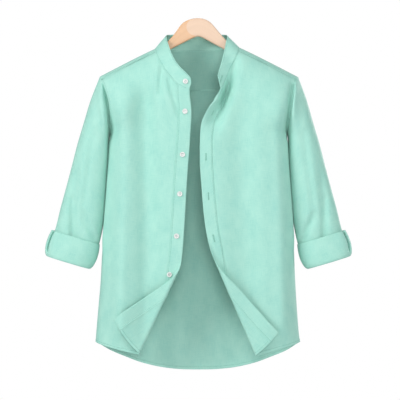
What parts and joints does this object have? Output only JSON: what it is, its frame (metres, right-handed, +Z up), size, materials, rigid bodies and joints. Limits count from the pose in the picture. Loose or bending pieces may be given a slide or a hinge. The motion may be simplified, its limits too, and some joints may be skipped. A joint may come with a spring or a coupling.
{
  "type": "mandarin collar shirt on a wooden hanger",
  "caption": "Open mint shirt with a standing band collar, rolled sleeves and turned-back front corners, on a plain wooden hanger.",
  "frame": {"origin": "top of the hanger's crown, where the hanger is held up", "axes": "+Z up, +Y towards the back of the shirt, +X towards the wearer's left side"},
  "size_m": [0.7072, 0.1283, 0.811],
  "materials": {
    "mint_cloth": "fine plain weave with a slight sheen",
    "white_button": "polished white plastic",
    "pale_wood": "smooth pale wood with fine grain"
  },
  "bodies": {
    "root": {"back": "mint_cloth", "yoke": "mint_cloth", "front_right": "mint_cloth", "front_left": "mint_cloth", "placket_buttons": "mint_cloth", "placket_buttonholes": "mint_cloth", "collar": "mint_cloth", "sleeve_right": "mint_cloth", "sleeve_left": "mint_cloth", "cuff_right": "mint_cloth", "cuff_left": "mint_cloth", "hanger": "pale_wood", "button_collar": "white_button", "button_1": "white_button", "button_2": "white_button", "button_3": "white_button", "button_4": "white_button", "button_5": "white_button"}
  },
  "joints": []
}
